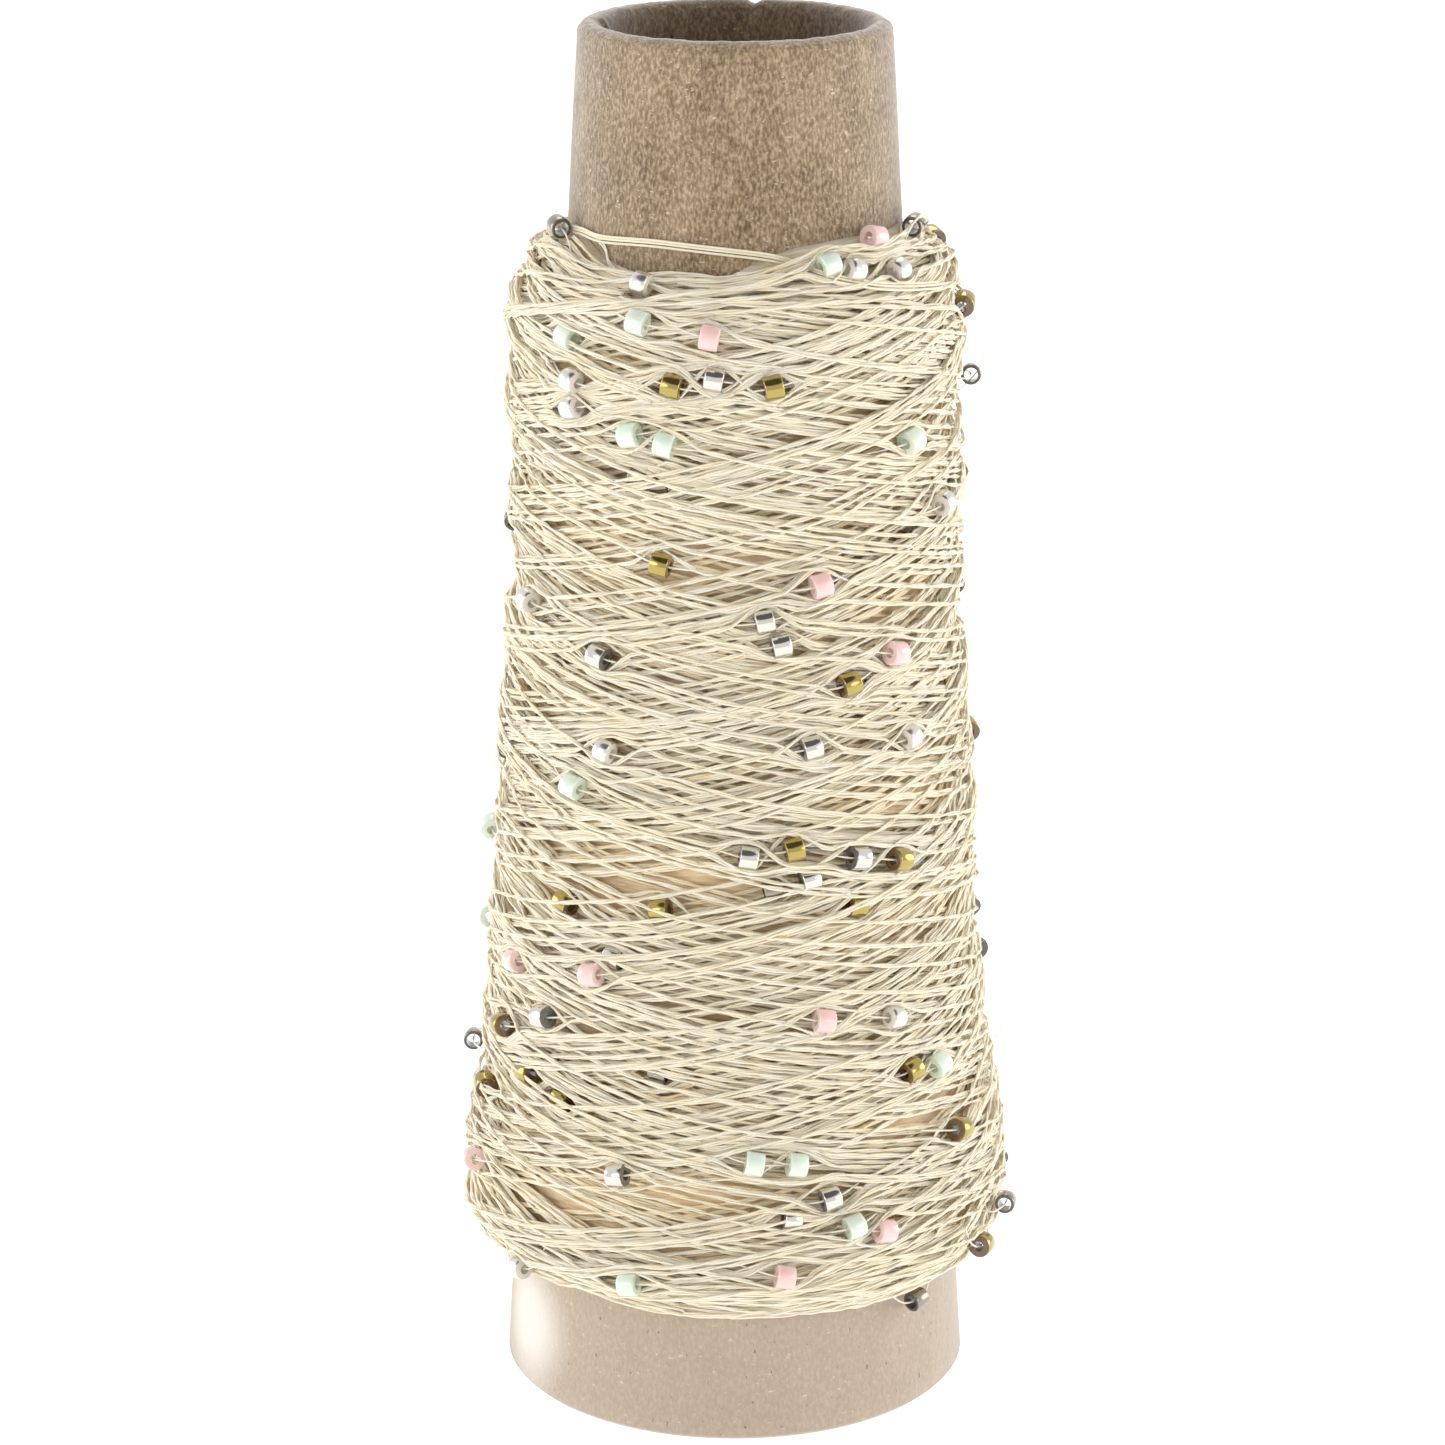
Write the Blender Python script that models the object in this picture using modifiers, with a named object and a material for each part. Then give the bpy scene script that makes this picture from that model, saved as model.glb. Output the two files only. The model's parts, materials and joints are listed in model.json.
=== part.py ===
"""A paper cone of beaded yarn: the rolled paper cone, the yarn wound on it, and the glass
beads that the yarn carries on a fine thread.

Metres, +Z up. The origin is the centre of the cone's base, on the surface it stands on.
The front of the cone faces -Y, and a bead's angle is counted from the front towards +X.
"""
import math

import bmesh
import bpy
from mathutils import Matrix

# ---- Driving dimensions --------------------------------------------------------------
# Paper cone
CONE_HEIGHT = 0.170
BASE_DIAMETER = 0.058
HALF_ANGLE = math.radians(3.5)
CONE_WALL = 0.0032
BASE_EDGE_ROUND = 0.0006

# Winding
BARE_FOOT = 0.0175
BARE_NOSE = 0.0234
YARN_THICKNESS = 0.0009
WAIST_DEPTH = 0.0048
FOOT_SHOULDER = 0.0063
FOOT_SHOULDER_POWER = 2.2
NOSE_SHOULDER = 0.0091
NOSE_SHOULDER_POWER = 1.5
FOOT_BULGE = 0.0017
FOOT_BULGE_HEIGHT = 0.0107
FOOT_BULGE_REACH = 0.0127
NOSE_BULGE = 0.0018
NOSE_BULGE_DROP = 0.0075
NOSE_BULGE_REACH = 0.0198

# Beads and the thread that carries them
BEAD_DIAMETER = 0.0029
BEAD_LENGTH = 0.00225
BEAD_BORE = 0.0013
BEAD_TILT = math.radians(11)
THREAD_DIAMETER = 0.0003
THREAD_REACH = 0.0047
THREAD_DROP_POWER = 3
PINNED_RISE = 0.0006
LOOSE_RISE = 0.0011

# Room left between pieces that touch, so that each one stays a solid of its own
GAP = 0.0003

# ---- Bead layout ---------------------------------------------------------------------
# Height as a percentage of the winding's length, then degrees round from the front.
PINNED_FRONT = {
    "silver": (
        (98, 34), (75, 63), (66, -61), (67, 7), (54, -32), (55, 18), (45, 3), (27, -48),
        (28, 38), (14, -25),
    ),
    "gold": (
        (88.5, -15), (88.5, 9), (72, -18), (60.5, 28), (43, 41), (24, -65), (15, 56),
    ),
    "pink": (
        (93, -6), (70, 21), (62.5, 42), (32.5, -34), (29, 20), (9.5, -72), (5, 10),
    ),
    "mint": (
        (94, -24), (82, 48), (50, -41), (22, 51), (16, 4), (3.5, -22), (41, -86),
    ),
}
# The back carries the same scatter; its beads follow a spiral with this turn and climb.
BACK_COLOURS = ("pink", "silver", "gold", "mint", "silver", "gold", "silver")
BACK_START = (7.5, 178)
BACK_CLIMB = 13.5
BACK_TURN = 97
BACK_ARC = 150

# Beads that stand clear of the yarn and turn on their thread: colour, height, angle.
LOOSE_BEADS = (
    ("silver", 100, -70), ("silver", 100, 73), ("silver", 85, 89), ("silver", 19, -88),
    ("silver", 4, 77), ("silver", 1.5, -52), ("gold", 1.5, 66), ("silver", -2, 48),
    ("silver", 74, 152), ("pink", 31.5, -158),
)

# ---- Mesh resolution -----------------------------------------------------------------
CONE_STEPS = 60
BEAD_STEPS = 12
POCKET_SIDES = 10
NOSE_STEPS = 6
SHOULDER_STEPS = 4
WAIST_STEPS = 9
THREAD_POINTS = 9

# ---- Colours -------------------------------------------------------------------------
# Base colour, roughness and metallic share of each finish.
COLOURS = {
    "silver": ((0.72, 0.71, 0.68, 1.0), 0.18, 0.6),
    "gold": ((0.62, 0.42, 0.20, 1.0), 0.18, 0.6),
    "pink": ((0.86, 0.52, 0.48, 1.0), 0.15, 0.3),
    "mint": ((0.60, 0.76, 0.62, 1.0), 0.15, 0.1),
    "cardboard": ((0.42, 0.30, 0.19, 1.0), 0.9, 0.0),
    "yarn": ((0.80, 0.72, 0.53, 1.0), 0.95, 0.0),
    "thread": ((0.82, 0.78, 0.66, 1.0), 0.6, 0.0),
}

WINDING_BOTTOM = BARE_FOOT
WINDING_TOP = CONE_HEIGHT - BARE_NOSE
WINDING_LENGTH = WINDING_TOP - WINDING_BOTTOM
BEAD_RADIUS = BEAD_DIAMETER / 2
THREAD_RADIUS = THREAD_DIAMETER / 2


# ---- Scene helpers -------------------------------------------------------------------
def clear_scene():
    for obj in list(bpy.data.objects):
        bpy.data.objects.remove(obj, do_unlink=True)


def new_collection(name):
    collection = bpy.data.collections.new(name)
    bpy.context.scene.collection.children.link(collection)
    return collection


def new_material(name):
    colour, roughness, metallic = COLOURS[name]
    material = bpy.data.materials.new(name)
    material.use_nodes = True
    shader = material.node_tree.nodes["Principled BSDF"]
    shader.inputs["Base Color"].default_value = colour
    shader.inputs["Roughness"].default_value = roughness
    shader.inputs["Metallic"].default_value = metallic
    material.diffuse_color = colour
    return material


def add_object(name, data, collection, material, matrix=Matrix()):
    obj = bpy.data.objects.new(name, data)
    obj.matrix_world = matrix
    collection.objects.link(obj)
    if material:
        obj.data.materials.append(material)
    return obj


# ---- Shapes --------------------------------------------------------------------------
def turned_mesh(name, profile):
    """A closed outline of (radius, height) points, ready for a Screw modifier."""
    shape = bmesh.new()
    ring = [shape.verts.new((radius, 0, height)) for radius, height in profile]
    for start, end in zip(ring, ring[1:] + ring[:1]):
        shape.edges.new((start, end))
    mesh = bpy.data.meshes.new(name)
    shape.to_mesh(mesh)
    shape.free()
    return mesh


def add_screw(obj, steps):
    screw = obj.modifiers.new("turn", "SCREW")
    screw.axis = "Z"
    screw.angle = 2 * math.pi
    screw.steps = steps
    screw.render_steps = steps
    screw.use_merge_vertices = True
    screw.merge_threshold = 0.00001
    screw.use_smooth_shade = True


def cone_radius(height):
    """Outside of the paper cone at a height."""
    return BASE_DIAMETER / 2 - height * math.tan(HALF_ANGLE)


def bulge(height, centre, rise, reach):
    return rise * math.exp(-(((height - centre) / reach) ** 2))


def shoulder(share, power):
    """1 where a shoulder starts and 0 at the winding's end, along a rounded corner."""
    share = min(max(share, 0.0), 1.0)
    return (1 - share**power) ** (1 / power)


def winding_radius(height):
    """Outside of the winding: crowned at both ends, with a slimmer waist between."""
    depth = WAIST_DEPTH
    depth += bulge(height, WINDING_BOTTOM + FOOT_BULGE_HEIGHT, FOOT_BULGE, FOOT_BULGE_REACH)
    depth += bulge(height, WINDING_TOP - NOSE_BULGE_DROP, NOSE_BULGE, NOSE_BULGE_REACH)
    depth -= YARN_THICKNESS
    into_foot = WINDING_BOTTOM + FOOT_SHOULDER - height
    depth *= shoulder(into_foot / FOOT_SHOULDER, FOOT_SHOULDER_POWER)
    into_nose = height - WINDING_TOP + NOSE_SHOULDER
    depth *= shoulder(into_nose / NOSE_SHOULDER, NOSE_SHOULDER_POWER)
    return cone_radius(height) + YARN_THICKNESS + depth


def seat_radius(height):
    """What a bead or a thread lies on at a height: the winding, or the bare cone."""
    if WINDING_BOTTOM <= height <= WINDING_TOP:
        return winding_radius(height)
    return cone_radius(height)


def cone_profile():
    """Down the outside, round the foot, up the inside, and over the rounded nose."""
    nose_round = CONE_WALL / 2
    nose_height = CONE_HEIGHT - nose_round
    nose_centre = cone_radius(nose_height) - nose_round
    base_out = BASE_DIAMETER / 2
    base_in = base_out - CONE_WALL
    over_nose = [
        (
            nose_centre + nose_round * math.cos(math.pi * step / NOSE_STEPS),
            nose_height + nose_round * math.sin(math.pi * step / NOSE_STEPS),
        )
        for step in range(NOSE_STEPS, -1, -1)
    ]
    foot = [
        (cone_radius(BASE_EDGE_ROUND), BASE_EDGE_ROUND),
        (base_out - BASE_EDGE_ROUND, 0),
        (base_in + BASE_EDGE_ROUND, 0),
        (cone_radius(BASE_EDGE_ROUND) - CONE_WALL, BASE_EDGE_ROUND),
    ]
    return foot + over_nose


def winding_profile():
    """Down the outside of the winding, then straight up beside the cone."""
    quarter = [math.pi / 2 * step / SHOULDER_STEPS for step in range(SHOULDER_STEPS + 1)]
    top_turn = WINDING_TOP - NOSE_SHOULDER
    foot_turn = WINDING_BOTTOM + FOOT_SHOULDER
    waist = (top_turn - foot_turn) / WAIST_STEPS
    heights = [top_turn + NOSE_SHOULDER * math.cos(angle) for angle in quarter]
    heights += [top_turn - waist * step for step in range(1, WAIST_STEPS)]
    heights += [foot_turn - FOOT_SHOULDER * math.sin(angle) for angle in quarter]
    outside = [(winding_radius(height), height) for height in heights]
    inside = [(cone_radius(height) + GAP, height) for height in (WINDING_BOTTOM, WINDING_TOP)]
    return outside + inside


def bead_profile():
    half = BEAD_LENGTH / 2
    bore = BEAD_BORE / 2
    return [(BEAD_RADIUS, half), (BEAD_RADIUS, -half), (bore, -half), (bore, half)]


# ---- Bead places ---------------------------------------------------------------------
def bead_place(percent, degrees, tilt, rise):
    """Turn, distance out and height of a bead that lies along the yarn."""
    height = WINDING_BOTTOM + WINDING_LENGTH * percent / 100
    clear_of_cone = cone_radius(height) + BEAD_RADIUS + 2 * GAP
    radius = max(seat_radius(height) + rise, clear_of_cone)
    turn = Matrix.Rotation(math.radians(degrees), 4, "Z")
    out = Matrix.Translation((0, -radius, height))
    along_yarn = Matrix.Rotation(math.pi / 2 - tilt, 4, "Y")
    return turn @ out @ along_yarn


def pinned_places():
    """Every bead that the yarn holds fast, as (colour, matrix)."""
    places = []
    for colour, spots in PINNED_FRONT.items():
        for index, (percent, degrees) in enumerate(spots):
            tilt = BEAD_TILT if index % 2 else -BEAD_TILT
            places.append((colour, bead_place(percent, degrees, tilt, PINNED_RISE)))
    start_percent, start_degrees = BACK_START
    for index, colour in enumerate(BACK_COLOURS):
        swing = (index * BACK_TURN + BACK_ARC / 2) % BACK_ARC - BACK_ARC / 2
        percent = start_percent + BACK_CLIMB * index
        tilt = BEAD_TILT if index % 2 else -BEAD_TILT
        places.append((colour, bead_place(percent, start_degrees + swing, tilt, PINNED_RISE)))
    return places


def loose_places():
    """Every bead that turns on its thread, as (colour, matrix, degrees, tilt)."""
    places = []
    for index, (colour, percent, degrees) in enumerate(LOOSE_BEADS):
        tilt = BEAD_TILT / 2 if index % 2 else -BEAD_TILT / 2
        matrix = bead_place(percent, degrees, tilt, LOOSE_RISE)
        places.append((colour, matrix, degrees, tilt))
    return places


# ---- Sub-parts -----------------------------------------------------------------------
def make_cone(collection):
    mesh = turned_mesh("paper_cone", cone_profile())
    cone = add_object("paper_cone", mesh, collection, new_material("cardboard"))
    add_screw(cone, CONE_STEPS)


def make_pockets(collection, matrices):
    """A cutter with one pocket for each bead that beds into the winding."""
    radius = (BEAD_RADIUS + GAP) / math.cos(math.pi / POCKET_SIDES)
    shape = bmesh.new()
    for matrix in matrices:
        bmesh.ops.create_cone(
            shape,
            cap_ends=True,
            segments=POCKET_SIDES,
            radius1=radius,
            radius2=radius,
            depth=BEAD_LENGTH + 2 * GAP,
            matrix=matrix,
        )
    mesh = bpy.data.meshes.new("bead_pockets")
    shape.to_mesh(mesh)
    shape.free()
    pockets = add_object("bead_pockets", mesh, collection, None)
    pockets.hide_render = True
    pockets.display_type = "WIRE"
    return pockets


def make_winding(collection, pockets):
    mesh = turned_mesh("yarn_winding", winding_profile())
    winding = add_object("yarn_winding", mesh, collection, new_material("yarn"))
    add_screw(winding, CONE_STEPS)
    cut = winding.modifiers.new("bead_pockets", "BOOLEAN")
    cut.operation = "DIFFERENCE"
    cut.solver = "EXACT"
    cut.object = pockets


def make_bead(name, collection, material, matrix):
    mesh = turned_mesh(name, bead_profile())
    bead = add_object(name, mesh, collection, material, matrix)
    add_screw(bead, BEAD_STEPS)


def make_thread(name, collection, material, matrix, degrees, tilt):
    """The arch of thread that a loose bead turns on: straight through the bead, then
    down on both sides to where it goes back under the yarn."""
    centre = matrix.translation
    radius = math.hypot(centre.x, centre.y)
    curve = bpy.data.curves.new(name, "CURVE")
    curve.dimensions = "3D"
    curve.bevel_depth = THREAD_RADIUS
    curve.bevel_resolution = 2
    curve.use_fill_caps = True
    spline = curve.splines.new("POLY")
    spline.points.add(THREAD_POINTS - 1)
    for index, point in enumerate(spline.points):
        along = THREAD_REACH * (2 * index / (THREAD_POINTS - 1) - 1)
        height = centre.z + along * math.sin(tilt)
        end_radius = seat_radius(height) + GAP + THREAD_RADIUS
        share = abs(along) / THREAD_REACH
        out = radius + (end_radius - radius) * share**THREAD_DROP_POWER
        angle = along * math.cos(tilt) / radius
        point.co = (out * math.sin(angle), -out * math.cos(angle), height, 1)
    turn = Matrix.Rotation(math.radians(degrees), 4, "Z")
    add_object(name, curve, collection, material, turn)


def make_beads(collection, pinned, loose):
    glass = {colour: new_material(colour) for colour in ("silver", "gold", "pink", "mint")}
    thread = new_material("thread")
    counts = dict.fromkeys(glass, 0)
    for colour, matrix in pinned:
        counts[colour] += 1
        make_bead(f"bead_{colour}_{counts[colour]:02d}", collection, glass[colour], matrix)
    for number, (colour, matrix, degrees, tilt) in enumerate(loose, start=1):
        make_bead(f"loose_bead_{number:02d}", collection, glass[colour], matrix)
        make_thread(f"bead_thread_{number:02d}", collection, thread, matrix, degrees, tilt)


def build():
    clear_scene()
    parts = new_collection("yarn_cone")
    cutters = new_collection("cutters")
    pinned = pinned_places()
    loose = loose_places()
    make_cone(parts)
    pockets = make_pockets(cutters, [place[1] for place in pinned + loose])
    make_winding(parts, pockets)
    make_beads(parts, pinned, loose)


build()
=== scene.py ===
import json
import math

import bmesh
import bpy
import numpy as np
from mathutils import Matrix, Vector, noise


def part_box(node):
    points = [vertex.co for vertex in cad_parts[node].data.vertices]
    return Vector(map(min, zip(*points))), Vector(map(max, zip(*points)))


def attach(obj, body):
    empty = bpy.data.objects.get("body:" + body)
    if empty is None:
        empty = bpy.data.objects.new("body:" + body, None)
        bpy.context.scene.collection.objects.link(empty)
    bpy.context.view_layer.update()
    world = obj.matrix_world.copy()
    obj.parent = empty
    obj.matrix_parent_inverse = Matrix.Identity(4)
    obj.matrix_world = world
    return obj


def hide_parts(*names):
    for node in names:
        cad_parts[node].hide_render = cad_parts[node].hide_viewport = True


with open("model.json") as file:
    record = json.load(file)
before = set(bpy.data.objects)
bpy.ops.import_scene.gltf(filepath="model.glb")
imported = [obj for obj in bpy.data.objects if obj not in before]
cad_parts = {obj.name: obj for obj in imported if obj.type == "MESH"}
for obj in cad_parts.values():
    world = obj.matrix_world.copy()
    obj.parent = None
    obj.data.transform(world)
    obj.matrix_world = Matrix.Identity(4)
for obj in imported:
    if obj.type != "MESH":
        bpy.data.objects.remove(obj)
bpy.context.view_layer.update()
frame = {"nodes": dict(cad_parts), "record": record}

# ---- Studio --------------------------------------------------------------------------
# A white table that glows a little, as a light table does, and soft boxes overhead, left
# and right. The room is white but for the dark side behind the camera, which gives the
# metal-lined beads something dark to mirror. The camera looks a little down on the cone.
CAMERA_DISTANCE = 0.5743
CAMERA_RISE = math.radians(16.94)
CAMERA_LENS = 116.2
SENSOR_WIDTH = 36
CAMERA_SHIFT = (-0.0087, -0.0100)
PRINT_GAMMA = 1.2
TABLE_SIZE = 6.0
TABLE_WHITE = (0.93, 0.93, 0.93, 1.0)
TABLE_GLOW = 0.60
ROOM_WHITE = (1.0, 1.0, 1.0, 1.0)
ROOM_DARK = (0.10, 0.10, 0.11, 1.0)
ROOM_LIGHT = 0.92
DARK_SIDE_RISE = math.radians(68)
DARK_SIDE_SPREAD = (math.cos(math.radians(38)), math.cos(math.radians(30)))
SOFT_BOXES = (
    ("overhead", (0.0, 0.60, 0.85), 0.60, 2.0),
    ("key", (-0.85, -0.85, 0.45), 0.60, 2.45),
    ("fill", (0.95, -0.75, 0.40), 0.60, 2.2),
    ("left_rim", (-0.90, 0.15, 0.25), 0.60, 3.0),
    ("right_rim", (0.90, 0.15, 0.25), 0.60, 3.2),
)

scene = bpy.context.scene
scene.view_settings.view_transform = "Standard"
scene.view_settings.gamma = PRINT_GAMMA
cone_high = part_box("paper_cone")[1]
cone_height = cone_high.z
aim = Vector((0, 0, cone_height / 2))


def set_inputs(node, values):
    for name, value in values.items():
        node.inputs[name].default_value = value


def new_material(name, roughness):
    material = bpy.data.materials.new(name)
    material.use_nodes = True
    shader = material.node_tree.nodes["Principled BSDF"]
    set_inputs(shader, {"Roughness": roughness})
    return material, shader


def new_piece(name, shape, material):
    mesh = bpy.data.meshes.new(name)
    shape.to_mesh(mesh)
    shape.free()
    mesh.materials.append(material)
    piece = bpy.data.objects.new(name, mesh)
    scene.collection.objects.link(piece)
    return piece


camera_data = bpy.data.cameras.new("camera")
camera_data.lens = CAMERA_LENS
camera_data.sensor_width = SENSOR_WIDTH
camera_data.shift_x, camera_data.shift_y = CAMERA_SHIFT
camera_data.clip_start = 0.01
camera = bpy.data.objects.new("camera", camera_data)
scene.collection.objects.link(camera)
camera_back = Vector((0, -math.cos(CAMERA_RISE), math.sin(CAMERA_RISE)))
camera.location = aim + camera_back * CAMERA_DISTANCE
camera.rotation_euler = (math.pi / 2 - CAMERA_RISE, 0, 0)
scene.camera = camera

for box_name, place, size, power in SOFT_BOXES:
    light_data = bpy.data.lights.new(box_name, "AREA")
    light_data.shape = "DISK"
    light_data.size = size
    light_data.energy = power
    light = bpy.data.objects.new(box_name, light_data)
    scene.collection.objects.link(light)
    light.location = place
    light.rotation_euler = (Vector(place) - aim).to_track_quat("Z", "Y").to_euler()

world = bpy.data.worlds.new("room")
world.use_nodes = True
scene.world = world
room_nodes = world.node_tree.nodes
room_links = world.node_tree.links
direction = room_nodes.new("ShaderNodeTexCoord")
facing = room_nodes.new("ShaderNodeVectorMath")
facing.operation = "DOT_PRODUCT"
facing.inputs[1].default_value = (0, -math.cos(DARK_SIDE_RISE), math.sin(DARK_SIDE_RISE))
edge = room_nodes.new("ShaderNodeMapRange")
edge.interpolation_type = "SMOOTHSTEP"
edge.inputs["From Min"].default_value, edge.inputs["From Max"].default_value = DARK_SIDE_SPREAD
walls = room_nodes.new("ShaderNodeMix")
walls.data_type = "RGBA"
walls.inputs["A"].default_value = ROOM_WHITE
walls.inputs["B"].default_value = ROOM_DARK
room_links.new(direction.outputs["Generated"], facing.inputs[0])
room_links.new(facing.outputs["Value"], edge.inputs["Value"])
room_links.new(edge.outputs["Result"], walls.inputs["Factor"])
room_links.new(walls.outputs["Result"], room_nodes["Background"].inputs["Color"])
room_nodes["Background"].inputs["Strength"].default_value = ROOM_LIGHT

table_material, table_shader = new_material("table_white", 0.8)
table_looks = {"Base Color": TABLE_WHITE, "Emission Color": ROOM_WHITE, "Emission Strength": TABLE_GLOW}
set_inputs(table_shader, table_looks)
table_shape = bmesh.new()
bmesh.ops.create_grid(table_shape, x_segments=1, y_segments=1, size=TABLE_SIZE / 2)
new_piece("table", table_shape, table_material)

# ---- Paper cone ----------------------------------------------------------------------
# The carrier: a textile cone rolled from several plies of recycled kraft board, with the
# standard 3.5 degree taper. Its nose is rolled over and left slightly furry, and the edges
# of the plies show inside as upright steps.
HALF_ANGLE = math.radians(3.5)
CONE_WALL = 0.0032
BASE_EDGE = 0.0006
CONE_AROUND = 220
OUTER_STEPS = 70
NOSE_STEPS = 12
INNER_STEPS = 50
CONE_WOBBLE = 0.00016
WOBBLE_GRAIN = 45
NOSE_ROUGHNESS = 0.00022
NOSE_GRAIN = 900
NOSE_WEAR = 0.6
NOSE_WEAR_GRAIN = 700
PLY_EDGES = ((-128, 34, 0.00045), (150, 60, 0.00035))
NICK_ANGLE = 172
NICK_WIDTH = 2.4
NICK_DEPTH = 0.0006
KRAFT_DARK = (0.085, 0.050, 0.022, 1.0)
KRAFT_MIDDLE = (0.225, 0.150, 0.079, 1.0)
KRAFT_LIGHT = (0.450, 0.330, 0.200, 1.0)
KRAFT_FOOT = (0.440, 0.350, 0.262, 1.0)
# Multiplied over the cone's inside: painted shade in the cone's bore.
KRAFT_INSIDE_SHADE = (0.42, 0.38, 0.36, 1.0)
FLECK_DARK = (0.07, 0.042, 0.024, 1.0)
FLECK_PALE = (0.62, 0.52, 0.39, 1.0)
MOTTLE_GRAIN = (3000, 3000, 1500)
MOTTLE_STOPS = (0.36, 0.50, 0.66)
CLOUD_GRAIN = (220, 220, 120)
CLOUD_STOPS = (0.35, 0.50, 0.70)
CLOUD_SHARE = 0.25
SPECK_GRAIN = (1900, 1900, 900)
SPECK_RANGE = (0.69, 0.76, 0.0, 0.8)
FIBRE_GRAIN = (1300, 1300, 2600)
FIBRE_RANGE = (0.68, 0.78, 0.0, 0.7)
FOOT_FADE = (0.03, 0.12, 0.68, 0.0)
RUBBED_PALE = (0.80, 0.75, 0.68, 1.0)
RUBBED_PLACE = (-0.0262, -0.0125, 0.0085)
RUBBED_REACH = 0.0105
RUBBED_CORE = 0.2
RUBBED_SHARE = 0.75
BOARD_ROUGHNESS = 0.88
BOARD_BUMP = (0.35, 0.0003)
BOARD_SPECULAR = 0.15
BOARD_SHEEN = 0.5


def cone_radius(z):
    return cone_high.x - z * math.tan(HALF_ANGLE)


def cone_profile():
    half = CONE_WALL / 2
    nose_z = cone_height - half
    points = [(cone_radius(z), z) for z in np.linspace(BASE_EDGE, nose_z, OUTER_STEPS)]
    for step in range(1, NOSE_STEPS):
        turn = math.pi * step / NOSE_STEPS
        middle = cone_radius(nose_z) - half
        points.append((middle + half * math.cos(turn), nose_z + half * math.sin(turn)))
    for z in np.linspace(nose_z, BASE_EDGE, INNER_STEPS):
        points.append((cone_radius(z) - CONE_WALL, z))
    points.append((cone_radius(0) - CONE_WALL + BASE_EDGE, 0))
    points.append((cone_radius(0) - BASE_EDGE, 0))
    return points


def spun(points, steps):
    """Turns a closed outline of radius and height once round the Z axis."""
    shape = bmesh.new()
    ring = [shape.verts.new((radius, 0, z)) for radius, z in points]
    outline = [shape.edges.new(pair) for pair in zip(ring, ring[1:] + ring[:1])]
    bmesh.ops.spin(
        shape,
        geom=ring + outline,
        cent=(0, 0, 0),
        axis=(0, 0, 1),
        angle=2 * math.pi,
        steps=steps,
        use_merge=True,
    )
    bmesh.ops.recalc_face_normals(shape, faces=shape.faces)
    for face in shape.faces:
        face.smooth = True
    return shape


def degrees_from(point, angle):
    """Degrees round the cone from an angle, which is counted from the front to the right."""
    here = math.degrees(math.atan2(point.x, -point.y))
    return (here - angle + 180) % 360 - 180


def weather_cone(shape):
    for vert in shape.verts:
        z = vert.co.z
        outward = Vector((vert.co.x, vert.co.y, 0)).normalized()
        middle = cone_radius(z) - CONE_WALL / 2
        inside = vert.co.xy.length < middle
        share = min(max((z - cone_height + CONE_WALL) / CONE_WALL, 0), 1)
        push = CONE_WOBBLE * noise.noise(vert.co * WOBBLE_GRAIN)
        push += NOSE_ROUGHNESS * share * noise.noise(vert.co * NOSE_GRAIN)
        if inside:
            for angle, width, thickness in PLY_EDGES:
                if 0 < degrees_from(vert.co, angle) < width:
                    push -= thickness
        nick = NICK_DEPTH * share * math.exp(-((degrees_from(vert.co, NICK_ANGLE) / NICK_WIDTH) ** 2))
        vert.co += outward * push
        if share > 0:
            worn = noise.noise(vert.co * NOSE_WEAR_GRAIN) - 1
            vert.co.z += NOSE_WEAR * NOSE_ROUGHNESS * share * worn - nick


def noise_of(tree, where, grain, **settings):
    """Noise with so many cells a metre along each axis, on the piece's own coordinates."""
    stretch = tree.nodes.new("ShaderNodeMapping")
    set_inputs(stretch, {"Scale": grain})
    tree.links.new(where, stretch.inputs["Vector"])
    texture = tree.nodes.new("ShaderNodeTexNoise")
    set_inputs(texture, {"Scale": 1, **settings})
    tree.links.new(stretch.outputs["Vector"], texture.inputs["Vector"])
    return texture.outputs[0]


def ramp_of(tree, value, stops):
    """A blend through three colours, each with its place from 0 to 1."""
    ramp = tree.nodes.new("ShaderNodeValToRGB")
    ramp.color_ramp.elements.new(0.5)
    for element, (place, colour) in zip(ramp.color_ramp.elements, stops):
        element.position = place
        element.color = colour
    tree.links.new(value, ramp.inputs["Fac"])
    return ramp.outputs["Color"]


def range_of(tree, value, low, high, out_low=0.0, out_high=1.0):
    limits = tree.nodes.new("ShaderNodeMapRange")
    limits.interpolation_type = "SMOOTHSTEP"
    set_inputs(limits, {"From Min": low, "From Max": high, "To Min": out_low, "To Max": out_high})
    tree.links.new(value, limits.inputs["Value"])
    return limits.outputs["Result"]


def mix_of(tree, share, first, second, blend="MIX"):
    """Mixes two colours, each a socket or a fixed colour, by a socket or a fixed share."""
    mix = tree.nodes.new("ShaderNodeMix")
    mix.data_type = "RGBA"
    mix.blend_type = blend
    for name, value in (("Factor", share), ("A", first), ("B", second)):
        if isinstance(value, bpy.types.NodeSocket):
            tree.links.new(value, mix.inputs[name])
        else:
            mix.inputs[name].default_value = value
    return mix.outputs["Result"]


def bump_of(tree, shader, height, strength, distance):
    bump = tree.nodes.new("ShaderNodeBump")
    set_inputs(bump, {"Strength": strength, "Distance": distance})
    tree.links.new(height, bump.inputs["Height"])
    tree.links.new(bump.outputs["Normal"], shader.inputs["Normal"])


def soft_face(shader, specular, sheen):
    """A dull face with a soft pale edge, as paper and cotton have."""
    looks = {"Specular IOR Level": specular, "Sheen Weight": sheen, "Sheen Roughness": 0.5}
    set_inputs(shader, looks)


def vector_step(tree, operation, where, fixed=(0, 0, 0)):
    step = tree.nodes.new("ShaderNodeVectorMath")
    step.operation = operation
    step.inputs[1].default_value = fixed
    tree.links.new(where, step.inputs[0])
    return step.outputs


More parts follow.
